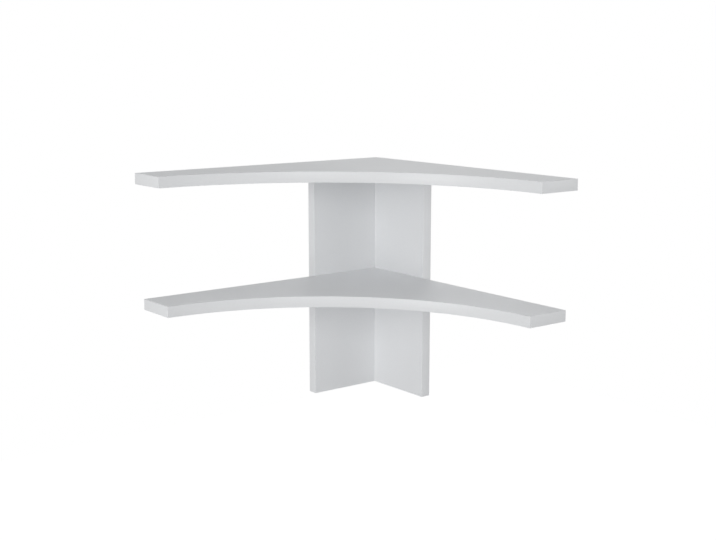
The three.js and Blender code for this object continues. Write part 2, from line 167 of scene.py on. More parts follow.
HANGER_SCREW_CROSS_DEPTH = 0.0012

# The photograph's camera, found from the shelves' corners: its focal length, its place, and the azimuth and
# elevation, in degrees, that it looks back from
PHOTO_WIDTH = 716
FOCAL_PIXELS = 1200.5
SENSOR_WIDTH = 36
CAMERA_PLACE = Vector((2.1085, -1.6764, 0.7369))
CAMERA_AZIMUTH = 52.40
CAMERA_ELEVATION = 10.19

# The studio: an even white surround, soft boxes that stand round the unit, and a floor far below, because
# the unit hangs on a wall. Each soft box has the azimuth and elevation, in degrees, that it is seen at from
# the unit, and the level that it alone gives a white surface facing it, where 1 is white. The surround gives
# its level to every surface. The low rear box keeps the wall sides and undersides as light as the fronts.
SURROUND_LEVEL = 0.402
SURROUND_TINT = "#FDFEFF"
SOFT_BOXES = {
    "left_soft_box": (8, 3, 0.258),
    "right_soft_box": (55, 15, 0.206),
    "side_soft_box": (135, 10, 0.092),
    "rear_soft_box": (225, 10, 0.089),
    "low_rear_soft_box": (222, -25, 0.160),
    "overhead_soft_box": (0, 85, 0.040),
}
SOFT_BOX_DISTANCE = 3.2
SOFT_BOX_SIZE = 1.2
FLOOR_HEIGHT = -2.4
FLOOR_SIZE = 14.0
FLOOR_LIFT = 0.66
FLOOR_WHITE = "#F4F4F5"

INTO_ROOM = {"back": Vector((0, -1, 0)), "left": Vector((1, 0, 0))}
UP = Vector((0, 0, 1))
DOWN = Vector((0, 0, -1))


def srgb(text):
    """A sRGB hex colour as Blender's linear colour."""
    channels = [int(text[i:i + 2], 16) / 255 for i in (1, 3, 5)]
    linear = [c / 12.92 if c <= 0.04045 else ((c + 0.055) / 1.055) ** 2.4 for c in channels]
    return (*linear, 1.0)


def add(tree, kind, values=None, links=None, stops=(), **properties):
    """Adds one node to a tree, with its properties, its inputs' values and the links into it.

    A colour ramp also takes its stops, as positions and sRGB hex colours.
    """
    node = tree.nodes.new(kind)
    for name, value in properties.items():
        setattr(node, name, value)
    for name, value in (values or {}).items():
        node.inputs[name].default_value = value
    for name, socket in (links or {}).items():
        tree.links.new(socket, node.inputs[name])
    for _ in stops[2:]:
        node.color_ramp.elements.new(1.0)
    for i, (position, colour) in enumerate(stops):
        node.color_ramp.elements[i].position = position
        node.color_ramp.elements[i].color = srgb(colour)
    return node


def empty_material(name):
    """A material without nodes, and its tree."""
    material = bpy.data.materials.new(name)
    material.use_nodes = True
    material.node_tree.nodes.clear()
    return material, material.node_tree


# A Mix node's inputs and output by their place in its lists, because its kinds of value share their names
NUMBER_A, NUMBER_B, NUMBER_OUT = 2, 3, 0
VECTOR_A, VECTOR_B, VECTOR_OUT = 4, 5, 1
COLOUR_A, COLOUR_B, COLOUR_OUT = 6, 7, 2

# Melamine-faced chipboard: resin-soaked white paper pressed hot on both faces of a chipboard core. The eye
# sees an even, slightly cool white with a satin shine and a very fine pearl grain, and brown wood chips
# wherever the board is cut or drilled, fine near the faces and coarse in the middle.
FOIL = 0.0002
FOIL_WHITE = "#F1F2F3"
FOIL_SHADE = "#EDEEEF"
FOIL_PATCH = 0.18
FOIL_ROUGHNESS = (0.60, 0.68)
FOIL_IOR = 1.5
# The real pearl grain is about 0.3 mm across. It is drawn at 1.2 mm to show at all.
PEARL_GRAIN = 0.0012
PEARL_HEIGHT = 0.00006
# Painted shade: the pearl grain's dips are tinted a little darker, because the relief alone barely shows its
# hollows
PAINTED_PEARL_SHADE = "#EBECEE"
PAINTED_PEARL_SHADE_RANGE = (0.50, 0.68)
# The chips turn from coarse to fine between these two depths from the middle of the board
COARSE_DEPTH = BOARD / 6
FINE_DEPTH = BOARD / 3
COARSE_CHIP = 0.0032
FINE_CHIP = 0.0011
CHIP_HEIGHT = 0.0002
CHIP_ROUGHNESS = 0.9
CHIP_STOPS = [(0.0, "#7E5F3C"), (0.35, "#A9855A"), (0.7, "#C6A578"), (1.0, "#DCC49C")]


def foil_finish(tree, place):
    """The foil's colour, roughness and relief: soft large patches, and painted shade in the dips of the pearl
    grain.
    """
    patch = add(tree, "ShaderNodeTexNoise", {"Scale": 1 / FOIL_PATCH, "Detail": 3.0}, {"Vector": place})
    even = add(tree, "ShaderNodeMix", {COLOUR_A: srgb(FOIL_WHITE), COLOUR_B: srgb(FOIL_SHADE)},
               {"Factor": patch.outputs["Fac"]}, data_type="RGBA")
    pearl = add(tree, "ShaderNodeTexNoise", {"Scale": 1 / PEARL_GRAIN, "Detail": 2.0}, {"Vector": place})
    # Painted shade in the grain's hollows: the deeper the dip of the relief, the darker the foil's colour
    painted_shade = add(tree, "ShaderNodeMapRange", {"From Min": PAINTED_PEARL_SHADE_RANGE[0], "From Max": PAINTED_PEARL_SHADE_RANGE[1]},
               {"Value": pearl.outputs["Fac"]})
    colour = add(tree, "ShaderNodeMix", {COLOUR_B: srgb(PAINTED_PEARL_SHADE)},
                 {"Factor": painted_shade.outputs[0], COLOUR_A: even.outputs[COLOUR_OUT]}, data_type="RGBA")
    gloss = add(tree, "ShaderNodeMapRange", {"To Min": FOIL_ROUGHNESS[0], "To Max": FOIL_ROUGHNESS[1]},
                {"Value": patch.outputs["Fac"]})
    relief = add(tree, "ShaderNodeBump", {"Strength": 0.6, "Distance": PEARL_HEIGHT},
                 {"Height": pearl.outputs["Fac"]}, invert=True)
    return colour.outputs[COLOUR_OUT], gloss.outputs[0], relief.outputs[0]


def chip_finish(tree, place, depth):
    """The core's colour and relief, from the place and the depth from the middle of the board."""
    coarse = add(tree, "ShaderNodeTexVoronoi", {"Scale": 1 / COARSE_CHIP}, {"Vector": place})
    fine = add(tree, "ShaderNodeTexVoronoi", {"Scale": 1 / FINE_CHIP}, {"Vector": place})
    outer = add(tree, "ShaderNodeMapRange", {"From Min": COARSE_DEPTH, "From Max": FINE_DEPTH},
                {"Value": depth})
    chips = add(tree, "ShaderNodeMix", links={
        "Factor": outer.outputs[0],
        COLOUR_A: coarse.outputs["Color"],
        COLOUR_B: fine.outputs["Color"],
    }, data_type="RGBA")
    shade = add(tree, "ShaderNodeSeparateColor", links={0: chips.outputs[COLOUR_OUT]})
    wood = add(tree, "ShaderNodeValToRGB", links={0: shade.outputs[0]}, stops=CHIP_STOPS)
    relief = add(tree, "ShaderNodeBump", {"Strength": 0.8, "Distance": CHIP_HEIGHT},
                 {"Height": shade.outputs[0]})
    return wood.outputs[0], relief.outputs[0]


def melamine_board(name, axis, middle):
    """Foil on the two faces across an axis, and chips between them, from the middle's place on that axis."""
    material, tree = empty_material(name)
    place = add(tree, "ShaderNodeTexCoord").outputs["Object"]
    split = add(tree, "ShaderNodeSeparateXYZ", links={0: place})
    across = add(tree, "ShaderNodeMath", {1: middle}, {0: split.outputs[axis]}, operation="SUBTRACT")
    depth = add(tree, "ShaderNodeMath", links={0: across.outputs[0]}, operation="ABSOLUTE").outputs[0]
    skin = BOARD / 2 - FOIL
    on_face = add(tree, "ShaderNodeMath", {1: skin}, {0: depth}, operation="GREATER_THAN").outputs[0]
    foil, gloss, foil_relief = foil_finish(tree, place)
    wood, wood_relief = chip_finish(tree, place, depth)
    colour = add(tree, "ShaderNodeMix", data_type="RGBA",
                 links={"Factor": on_face, COLOUR_A: wood, COLOUR_B: foil})
    rough = add(tree, "ShaderNodeMix", {NUMBER_A: CHIP_ROUGHNESS}, {"Factor": on_face, NUMBER_B: gloss},
                data_type="FLOAT")
    relief = add(tree, "ShaderNodeMix", data_type="VECTOR",
                 links={"Factor": on_face, VECTOR_A: wood_relief, VECTOR_B: foil_relief})
    shader = add(tree, "ShaderNodeBsdfPrincipled", {"IOR": FOIL_IOR}, {
        "Base Color": colour.outputs[COLOUR_OUT],
        "Roughness": rough.outputs[NUMBER_OUT],
        "Normal": relief.outputs[VECTOR_OUT],
    })
    add(tree, "ShaderNodeOutputMaterial", links={"Surface": shader.outputs[0]})
    return material


# ABS edge band: an extruded white strip glued on hot, its edges milled round and buffed. The eye sees a
# smoother and slightly glossier white than the board's faces, with soft streaks from the buffing.
BAND_WHITE = "#EFF0F1"
BAND_SHADE = "#EBECED"
BAND_STREAK = 0.004
BAND_ROUGHNESS = (0.36, 0.44)
BAND_IOR = 1.53
BAND_RIPPLE = 0.0009
BAND_RIPPLE_HEIGHT = 0.00002


def abs_edge_band():
    """The band's plastic: streaks in its tone and gloss, and a fine ripple."""
    material, tree = empty_material("white_abs_edge_band")
    place = add(tree, "ShaderNodeTexCoord").outputs["Object"]
    streak = add(tree, "ShaderNodeTexNoise", {"Scale": 1 / BAND_STREAK, "Detail": 2.0}, {"Vector": place})
    tone = add(tree, "ShaderNodeMix", {COLOUR_A: srgb(BAND_WHITE), COLOUR_B: srgb(BAND_SHADE)},
               {"Factor": streak.outputs["Fac"]}, data_type="RGBA")
    ripple = add(tree, "ShaderNodeTexNoise", {"Scale": 1 / BAND_RIPPLE, "Detail": 1.0}, {"Vector": place})
    relief = add(tree, "ShaderNodeBump", {"Strength": 0.5, "Distance": BAND_RIPPLE_HEIGHT},
                 {"Height": ripple.outputs["Fac"]})
    gloss = add(tree, "ShaderNodeMapRange", {"To Min": BAND_ROUGHNESS[0], "To Max": BAND_ROUGHNESS[1]},
                {"Value": streak.outputs["Fac"]})
    shader = add(tree, "ShaderNodeBsdfPrincipled", {"IOR": BAND_IOR}, {
        "Base Color": tone.outputs[COLOUR_OUT],
        "Roughness": gloss.outputs[0],
        "Normal": relief.outputs[0],
    })
    add(tree, "ShaderNodeOutputMaterial", links={"Surface": shader.outputs[0]})
    return material


# Beech: turned and fluted dowel rod. The eye sees pale pinkish-brown wood with straight grain along the rod
# and the short dark flecks of its rays.
BEECH_STOPS = [(0.0, "#B98E5E"), (0.45, "#D2AC7C"), (1.0, "#E2C49A")]
BEECH_GRAIN = 0.0006
BEECH_RUN = 0.02
BEECH_RELIEF = 0.0001
BEECH_ROUGHNESS = 0.65
BEECH_IOR = 1.5
FLECK_BROWN = "#8F6540"
FLECK_WIDTH = 0.0012
FLECK_LENGTH = 0.0048
FLECK_STRENGTH = 0.5
# Where a fleck starts to fade and where it ends, as shares of its cell
FLECK_EDGE = (0.10, 0.22)


def beech(name, axis):
    """Beech whose grain runs along an axis."""
    material, tree = empty_material(name)
    place = add(tree, "ShaderNodeTexCoord").outputs["Object"]
    grain_scale = [1 / BEECH_GRAIN] * 3
    grain_scale[axis] = 1 / BEECH_RUN
    drawn = add(tree, "ShaderNodeMapping", {"Scale": grain_scale}, {"Vector": place})
    grain = add(tree, "ShaderNodeTexNoise", {"Scale": 1.0, "Detail": 4.0}, {"Vector": drawn.outputs[0]})
    wood = add(tree, "ShaderNodeValToRGB", links={0: grain.outputs["Fac"]}, stops=BEECH_STOPS)
    fleck_scale = [1 / FLECK_WIDTH] * 3
    fleck_scale[axis] = 1 / FLECK_LENGTH
    flecked = add(tree, "ShaderNodeMapping", {"Scale": fleck_scale}, {"Vector": place})
    fleck = add(tree, "ShaderNodeTexVoronoi", {"Scale": 1.0}, {"Vector": flecked.outputs[0]})
    dark = add(tree, "ShaderNodeMapRange", {
        "From Min": FLECK_EDGE[0],
        "From Max": FLECK_EDGE[1],
        "To Min": FLECK_STRENGTH,
        "To Max": 0.0,
    }, {"Value": fleck.outputs["Distance"]})
    colour = add(tree, "ShaderNodeMix", {COLOUR_B: srgb(FLECK_BROWN)},
                 {"Factor": dark.outputs[0], COLOUR_A: wood.outputs[0]}, data_type="RGBA")
    relief = add(tree, "ShaderNodeBump", {"Strength": 0.4, "Distance": BEECH_RELIEF},
                 {"Height": grain.outputs["Fac"]})
    shader = add(tree, "ShaderNodeBsdfPrincipled", {"Roughness": BEECH_ROUGHNESS, "IOR": BEECH_IOR}, {
        "Base Color": colour.outputs[COLOUR_OUT],
        "Normal": relief.outputs[0],
    })
    add(tree, "ShaderNodeOutputMaterial", links={"Surface": shader.outputs[0]})
    return material


# Steel under a thin bright zinc plating: a bluish white metal, smooth, with faint cloudy patches where the
# plating bath left it duller. Screws and bolts, cold formed from wire, have a fine even skin below the
# plating. The hanger plates are stamped from rolled sheet, so the eye sees faint straight lines along them.
ZINC_BRIGHT = "#C9CDD3"
ZINC_DULL = "#A9AEB6"
ZINC_PATCH = 0.003
ZINC_ROUGHNESS = (0.24, 0.42)
WIRE_GRAIN = (0.0006, 0.0006, 0.0006)
WIRE_RELIEF = 0.000004
SHEET_GRAIN = (0.0005, 0.0005, 0.025)
SHEET_RELIEF = 0.00001
SKIN_RANGE = (0.35, 0.65)
SKIN_SHARE = 0.4


def zinc_plated_steel(name, grain, height):
    """Zinc over steel whose own skin has a grain of three sizes, along x, y and z, and a height."""
    material, tree = empty_material(name)
    place = add(tree, "ShaderNodeTexCoord").outputs["Object"]
    patch = add(tree, "ShaderNodeTexNoise", {"Scale": 1 / ZINC_PATCH, "Detail": 4.0}, {"Vector": place})
    drawn = add(tree, "ShaderNodeMapping", {"Scale": [1 / size for size in grain]}, {"Vector": place})
    skin = add(tree, "ShaderNodeTexNoise", {"Scale": 1.0, "Detail": 3.0}, {"Vector": drawn.outputs[0]})
    lines = add(tree, "ShaderNodeMapRange", {"From Min": SKIN_RANGE[0], "From Max": SKIN_RANGE[1]},
                {"Value": skin.outputs["Fac"]})
    dull = add(tree, "ShaderNodeMix", {"Factor": SKIN_SHARE},
               {NUMBER_A: patch.outputs["Fac"], NUMBER_B: lines.outputs[0]}, data_type="FLOAT")
    tone = add(tree, "ShaderNodeMix", {COLOUR_A: srgb(ZINC_BRIGHT), COLOUR_B: srgb(ZINC_DULL)},
               {"Factor": dull.outputs[NUMBER_OUT]}, data_type="RGBA")
    rough = add(tree, "ShaderNodeMapRange", {"To Min": ZINC_ROUGHNESS[0], "To Max": ZINC_ROUGHNESS[1]},
                {"Value": patch.outputs["Fac"]})
    relief = add(tree, "ShaderNodeBump", {"Strength": 0.6, "Distance": height},
                 {"Height": skin.outputs["Fac"]})
    shader = add(tree, "ShaderNodeBsdfPrincipled", {"Metallic": 1.0}, {
        "Base Color": tone.outputs[COLOUR_OUT],
        "Roughness": rough.outputs[0],
        "Normal": relief.outputs[0],
    })
    add(tree, "ShaderNodeOutputMaterial", links={"Surface": shader.outputs[0]})
    return material


# Zinc die casting, as it comes from the mould: a darker, duller grey metal with a fine sandy skin.
CAST_LIGHT = "#A7AAAE"
CAST_DARK = "#8B8F94"
CAST_GRIT = 0.0004
CAST_RELIEF = 0.00005
CAST_ROUGHNESS = 0.5


def cast_zinc():
    """The cams' metal: one sandy noise for its tone and its relief."""
    material, tree = empty_material("zinc_die_casting")
    place = add(tree, "ShaderNodeTexCoord").outputs["Object"]
    grit = add(tree, "ShaderNodeTexNoise", {"Scale": 1 / CAST_GRIT, "Detail": 3.0}, {"Vector": place})
    tone = add(tree, "ShaderNodeMix", {COLOUR_A: srgb(CAST_LIGHT), COLOUR_B: srgb(CAST_DARK)},
               {"Factor": grit.outputs["Fac"]}, data_type="RGBA")
    relief = add(tree, "ShaderNodeBump", {"Strength": 0.5, "Distance": CAST_RELIEF},
                 {"Height": grit.outputs["Fac"]})
    shader = add(tree, "ShaderNodeBsdfPrincipled", {"Metallic": 1.0, "Roughness": CAST_ROUGHNESS}, {
        "Base Color": tone.outputs[COLOUR_OUT],
        "Normal": relief.outputs[0],
    })
    add(tree, "ShaderNodeOutputMaterial", links={"Surface": shader.outputs[0]})
    return material


# Meshes
def in_order(bm):
    """Sorts a mesh by place, because spin and bevel leave its edges and faces in another order each run."""
    for parts, key in (
        (bm.verts, lambda vert: tuple(vert.co)),
        (bm.edges, lambda edge: sorted(vert.index for vert in edge.verts)),
        (bm.faces, lambda face: sorted(vert.index for vert in face.verts)),
    ):
        rank = {part: i for i, part in enumerate(sorted(parts, key=key))}
        parts.sort(key=rank.get)
        parts.index_update()


def merged(bm):
    """The same mesh with its doubles merged, its faces turned outwards and its parts in order."""
    bmesh.ops.remove_doubles(bm, verts=bm.verts, dist=SAME_PLACE)
    bmesh.ops.recalc_face_normals(bm, faces=bm.faces)
    in_order(bm)
    return bm


def piece(node, bm, material):
    """A finished piece that stands for a node. Its place is in its mesh."""
    mesh = bpy.data.meshes.new(f"finished_{node}")
    bm.to_mesh(mesh)
    bm.free()
    mesh.materials.append(material)
    mesh.shade_smooth()
    mesh.set_sharp_from_angle(angle=SMOOTH_LIMIT)
    obj = bpy.data.objects.new(f"finished_{node}", mesh)
    bpy.context.scene.collection.objects.link(obj)
    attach(obj, "root")
    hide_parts(node)


def held(bm):
    """A passing object round a mesh, for one cut."""
    mesh = bpy.data.meshes.new("passing")
    bm.to_mesh(mesh)
    bm.free()
    obj = bpy.data.objects.new("passing", mesh)
    bpy.context.scene.collection.objects.link(obj)
    return obj


def cut(bm, cutters):
    """Cuts the other shapes out of this one, closes up slivers and joins flat faces that the cut splits."""
    base = held(bm)
    tools = [held(cutter) for cutter in cutters]
    for tool in tools:
        modifier = base.modifiers.new("cut", "BOOLEAN")
        modifier.operation = "DIFFERENCE"
        modifier.solver = "EXACT"
        modifier.object = tool
    result = bmesh.new()
    result.from_object(base, bpy.context.evaluated_depsgraph_get())
    bmesh.ops.dissolve_degenerate(result, dist=SLIVER, edges=result.edges)
    bmesh.ops.dissolve_limit(result, angle_limit=FLAT, verts=result.verts, edges=result.edges)
    in_order(result)
    for obj in [base, *tools]:
        mesh = obj.data
        bpy.data.objects.remove(obj)
        bpy.data.meshes.remove(mesh)
    return result


def turned(profile, steps=ROUND_STEPS):
    """A round body about its own Z axis. Its profile of radius and height starts and ends on the axis."""
    bm = bmesh.new()
    verts = [bm.verts.new((radius, 0, height)) for radius, height in profile]
    edges = [bm.edges.new(pair) for pair in zip(verts, verts[1:])]
    bmesh.ops.spin(bm, geom=verts + edges, cent=(0, 0, 0), axis=(0, 0, 1), angle=math.tau, steps=steps,
                   use_merge=True)
    return merged(bm)


def block(low, high):
    """A box from its lowest to its highest corner."""
    bm = bmesh.new()
    bmesh.ops.create_cube(bm, size=1.0)
    bmesh.ops.scale(bm, vec=high - low, verts=bm.verts)
    bmesh.ops.translate(bm, vec=(low + high) / 2, verts=bm.verts)
    return bm


def raised(bm, height):
    """Gives a flat outline its height along +Z."""
    grown = bmesh.ops.extrude_face_region(bm, geom=bm.faces[:])["geom"]
    corners = [part for part in grown if isinstance(part, bmesh.types.BMVert)]
    bmesh.ops.translate(bm, vec=(0, 0, height), verts=corners)
    merged(bm)


def rounded(bm, edges, radius, steps):
    """Rounds some edges, or bevels them flat in one step."""
    bmesh.ops.bevel(bm, geom=edges, offset=radius, offset_type="OFFSET", affect="EDGES", segments=steps,
                    profile=0.5, material=-1, clamp_overlap=True)
    in_order(bm)
    return bm


def placed(bm, start, along):
    """Moves a fitting made about its own Z axis to its start, with Z along the given way."""
    upward = Vector((0, 1, 0)) if along == DOWN else UP
    turn = Matrix((upward.cross(along), upward, along)).transposed().to_4x4()
    bmesh.ops.transform(bm, matrix=Matrix.Translation(start) @ turn, verts=bm.verts)
    return bm


def length_along(node, along):
    """A fitting's length in the frame."""
    low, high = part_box(node)
    return abs((high - low).dot(along))


def start_of(node, along):
    """Where a fitting begins: the middle of the side of its box that the given way leaves from."""
    low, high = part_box(node)
    return (low + high) / 2 - along * length_along(node, along) / 2


def level_edges(bm):
    """The edges that lie level, such as the rims of a body raised along Z."""
    return [edge for edge in bm.edges if abs(edge.verts[0].co.z - edge.verts[1].co.z) < LEVEL_WITHIN]


def upright_edges(bm):
    """The edges that rise."""
    return [edge for edge in bm.edges if abs(edge.verts[0].co.z - edge.verts[1].co.z) > LEVEL_WITHIN]


# Boards
class Shelf:
    """One shelf's outline: the corner at the walls, the arms' ends and the concave front's arc."""

    def __init__(self, name):
        self.name = name
        low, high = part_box(f"{name}_right_end_band")
        self.corner = -high.y
        self.end = high.x
        self.underside = low.z
        self.radius = self.end - self.corner - END_DEPTH
        self.centre = Vector((self.end, -self.end, self.underside))


def front_turn(radius):
    """The arc's first angle and its sweep. It stops short of the ends, where the end bands cover it."""
    nip = math.asin(BAND / radius)
    return math.pi / 2 + nip, math.pi / 2 - 2 * nip


def shelf_core(shelf):
    """The board inside its bands. The fine bevel of its rims shows as the glue line along each band."""
    radius = shelf.radius + BAND
    first, sweep = front_turn(radius)
    near = shelf.corner + BAND
    far = shelf.end - BAND
    bm = bmesh.new()
    start = bm.verts.new(shelf.centre + Vector((math.cos(first), math.sin(first), 0)) * radius)
    swept = bmesh.ops.spin(bm, geom=[start], cent=shelf.centre, axis=(0, 0, 1), angle=sweep,
                           steps=FRONT_STEPS)
    stop = next(part for part in swept["geom_last"] if isinstance(part, bmesh.types.BMVert))
    corners = [(near, -far), (near, -near), (far, -near)]
    rest = [bm.verts.new((x, y, shelf.underside)) for x, y in corners]
    for pair in zip([stop, *rest], [*rest, start]):
        bm.edges.new(pair)
    bmesh.ops.edgeloop_fill(bm, edges=bm.edges[:])
    raised(bm, BOARD)
    return rounded(bm, level_edges(bm), GLUE_LINE, 1)


def upright_core(low, high, axis):
    """An upright's board, with the same fine bevel round its two faces."""
    bm = block(low, high)
    rims = [edge for edge in bm.edges if abs(edge.verts[0].co[axis] - edge.verts[1].co[axis]) < LEVEL_WITHIN]
    return rounded(bm, rims, GLUE_LINE, 1)


def front_band(shelf):
    """The band on the concave front: its section, with the two outer corners rounded, swept along the arc."""
    first, sweep = front_turn(shelf.radius + BAND)
    bm = bmesh.new()
    outer, inner = shelf.radius, shelf.radius + BAND
    section = [(outer, 0), (inner, 0), (inner, BOARD), (outer, BOARD)]
    verts = [bm.verts.new((radius, 0, height)) for radius, height in section]
    bm.faces.new(verts)
    bmesh.ops.bevel(bm, geom=[verts[0], verts[3]], offset=BAND_ARRIS, affect="VERTICES", segments=ARRIS_STEPS,
                    profile=0.5, material=-1)
    bmesh.ops.rotate(bm, verts=bm.verts, cent=(0, 0, 0), matrix=Matrix.Rotation(first, 3, "Z"))
    bmesh.ops.translate(bm, vec=shelf.centre, verts=bm.verts)
    bmesh.ops.spin(bm, geom=bm.verts[:] + bm.edges[:] + bm.faces[:], cent=shelf.centre, axis=(0, 0, 1),
                   angle=sweep, steps=FRONT_STEPS)
    return merged(bm)


def straight_band(node, outward, rounded_ends, holes=()):
    """A straight band, rounded on the long edges of its outer side and at its named ends."""
    low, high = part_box(node)
    size = high - low
    out_axis = max(range(3), key=lambda i: abs(outward[i]))
    long_axis = max(range(3), key=lambda i: size[i])
    outer = high[out_axis] if outward[out_axis] > 0 else low[out_axis]
    ends = {"low": low[long_axis], "high": high[long_axis]}
    near = BAND / 4
    bm = block(low, high)
    chosen = []
    for edge in bm.edges:
        middle = (edge.verts[0].co + edge.verts[1].co) / 2
        end = next((name for name, value in ends.items() if abs(middle[long_axis] - value) < near), None)
        on_outer_side = abs(middle[out_axis] - outer) < near
        if on_outer_side and (end is None or end in rounded_ends):
            chosen.append(edge)
    rounded(bm, chosen, BAND_ARRIS, ARRIS_STEPS)
    return cut(bm, holes) if holes else bm


# Fittings, each about its own Z axis from the face or the tip where it starts
def thread_profile(root, crest, pitch, begin, end):
    """Ridges of a thread from begin to end, as points of radius and height."""
    points = []
    turns = int((end - begin) / pitch)
    for turn in range(turns):
        base = begin + turn * pitch
        points += [
            (root, base),
            (root, base + pitch * THREAD_RISE),
            (crest, base + pitch * THREAD_CREST_START),
            (crest, base + pitch * THREAD_CREST_END),
        ]
    points.append((root, begin + turns * pitch))
    return points


def connecting_screw():
    """A countersunk head with a hexagon socket, a plain collar and a coarse thread."""
    head = SCREW_HEAD_DIAMETER / 2
    collar = SCREW_COLLAR_DIAMETER / 2
    ridges = thread_profile(SCREW_ROOT_DIAMETER / 2, SCREW_CREST_DIAMETER / 2, SCREW_PITCH,
                            SCREW_COLLAR_END + FIT, SCREW_LENGTH - SCREW_TIP_LENGTH)
    body = turned([
        (0, 0),
        (head - SCREW_HEAD_ARRIS, 0),
        (head, SCREW_HEAD_ARRIS),
        (head, SCREW_HEAD_RIM),
        (collar, SCREW_HEAD_HEIGHT),
        (collar, SCREW_COLLAR_END),
        *ridges,
        (SCREW_TIP_DIAMETER / 2, SCREW_LENGTH),
        (0, SCREW_LENGTH),
    ])
    across = SCREW_SOCKET_WIDTH / math.sqrt(3)
    mouth = across + SCREW_SOCKET_MOUTH
    drill_point = across / 4
    socket = turned([
        (0, -OVERRUN),
        (mouth, -OVERRUN),
        (mouth, 0),
        (across, SCREW_SOCKET_MOUTH),
        (across, SCREW_SOCKET_DEPTH),
        (0, SCREW_SOCKET_DEPTH + drill_point),
    ], steps=SCREW_SOCKET_SIDES)
    return cut(body, [socket])


def connecting_screw_hole():
    """The stepped hole that takes one."""
    head = SCREW_HEAD_DIAMETER / 2 + FIT
    collar = SCREW_COLLAR_DIAMETER / 2 + FIT
    thread = SCREW_CREST_DIAMETER / 2 + FIT
    bottom = SCREW_LENGTH + FIT
    return turned([
        (0, -OVERRUN),
        (head, -OVERRUN),
        (head, SCREW_HEAD_RIM),
        (collar, SCREW_HEAD_HEIGHT),
        (collar, SCREW_COLLAR_END),
        (thread, SCREW_COLLAR_END + FIT),
        (thread, bottom),
        (0, bottom),
    ])


def dowel(radius, length):
    """A fluted dowel: its round section is drawn in at each flute."""
    bm = bmesh.new()
    points = DOWEL_FLUTES * DOWEL_POINTS_PER_FLUTE
    bmesh.ops.create_circle(bm, cap_ends=True, segments=points, radius=radius)
    for vert in bm.verts:
        turn = math.atan2(vert.co.y, vert.co.x) * DOWEL_FLUTES
        vert.co *= 1 - DOWEL_FLUTE_DEPTH / radius * (0.5 - 0.5 * math.cos(turn)) ** 2
    raised(bm, length)
    return rounded(bm, level_edges(bm), DOWEL_CHAMFER, 1)


def dowel_hole(radius, length):
    wide = radius + FIT
    return turned([(0, -FIT), (wide, -FIT), (wide, length + FIT), (0, length + FIT)])


def cam_hole():
    radius = CAM_DIAMETER / 2 + FIT
    floor = BOARD / 2 + CAM_PAST_BOLT + FIT
    return turned([(0, -OVERRUN), (radius, -OVERRUN), (radius, floor), (0, floor)])


def cam_groove():
    """The sector of a cam through which the bolt's neck passes."""
    inner = CAM_CORE_DIAMETER / 2
    outer = CAM_DIAMETER / 2 + OVERRUN
    half = BOLT_NECK_DIAMETER / 2 + FIT
    bm = bmesh.new()
    section = [(inner, -half), (outer, -half), (outer, half), (inner, half)]
    bm.faces.new([bm.verts.new((0, radius, BOARD / 2 + height)) for radius, height in section])
    bmesh.ops.spin(bm, geom=bm.verts[:] + bm.edges[:] + bm.faces[:], cent=(0, 0, 0), axis=(0, 0, 1),
                   angle=CAM_GROOVE_TURN, steps=CAM_GROOVE_STEPS)
    return merged(bm)


def cross_bars(length, width, depth):
    """A cross slot's two bars."""
    half = Vector((length / 2, width / 2, 0))
    turned_half = Vector((width / 2, length / 2, 0))
    return [block(Vector((-h.x, -h.y, -OVERRUN)), Vector((h.x, h.y, depth))) for h in (half, turned_half)]


def cam():
    """A cam: a drum with a dished face, a cross slot, and the mouth and groove that take a bolt's head."""
    radius = CAM_DIAMETER / 2
    dish = CAM_DISH_DIAMETER / 2
    floor = BOARD / 2 + CAM_PAST_BOLT
    body = turned([
        (0, CAM_DISH_DEPTH),
        (dish - CAM_DISH_DEPTH, CAM_DISH_DEPTH),
        (dish, 0),
        (radius - CAM_ARRIS, 0),
        (radius, CAM_ARRIS),
        (radius, floor - CAM_ARRIS),
        (radius - CAM_ARRIS, floor),
        (0, floor),
    ])
    mouth_radius = BOLT_HEAD_DIAMETER / 2 + FIT
    below = BOLT_HEAD_HEIGHT / 2 + FIT
    reach = radius + OVERRUN
    mouth = turned([(0, -below), (mouth_radius, -below), (mouth_radius, reach), (0, reach)])
    bmesh.ops.rotate(mouth, verts=mouth.verts, cent=(0, 0, 0), matrix=Matrix.Rotation(-math.pi / 2, 3, "X"))
    bmesh.ops.translate(mouth, vec=(0, 0, BOARD / 2), verts=mouth.verts)
    cross = cross_bars(CAM_CROSS_LENGTH, CAM_CROSS_WIDTH, CAM_CROSS_DEPTH)
    return cut(body, [mouth, cam_groove(), *cross])


def cam_bolt():
    """From the tip of its thread, up in the shelf, down to its head in the cam."""
    root = BOLT_ROOT_DIAMETER / 2
    shoulder = BOLT_THREAD_LENGTH
    head = BOLT_HEAD_DIAMETER / 2
    head_start = BOLT_LENGTH - BOLT_HEAD_HEIGHT
    neck_start = head_start - BOLT_NECK_LENGTH
    collar_end = shoulder + BOLT_COLLAR_HEIGHT
    ridges = thread_profile(root, BOLT_CREST_DIAMETER / 2, BOLT_PITCH, BOLT_PITCH / 2, shoulder)
    return turned([
        (0, 0),
        (root - BOLT_PITCH / 2, 0),
        *ridges,
        (root, shoulder),
        (BOLT_COLLAR_DIAMETER / 2, shoulder),
        (BOLT_COLLAR_DIAMETER / 2, collar_end),
        (BOLT_SHAFT_DIAMETER / 2, collar_end),
        (BOLT_SHAFT_DIAMETER / 2, neck_start),
        (BOLT_NECK_DIAMETER / 2, neck_start + BOLT_SHAFT_DIAMETER / 2 - BOLT_NECK_DIAMETER / 2),
        (BOLT_NECK_DIAMETER / 2, head_start - FIT),
        (head - BOLT_CHAMFER / 2, head_start),
        (head, head_start + BOLT_CHAMFER / 2),
        (head, BOLT_LENGTH - BOLT_CHAMFER),
        (head - BOLT_CHAMFER, BOLT_LENGTH),
        (0, BOLT_LENGTH),
    ])


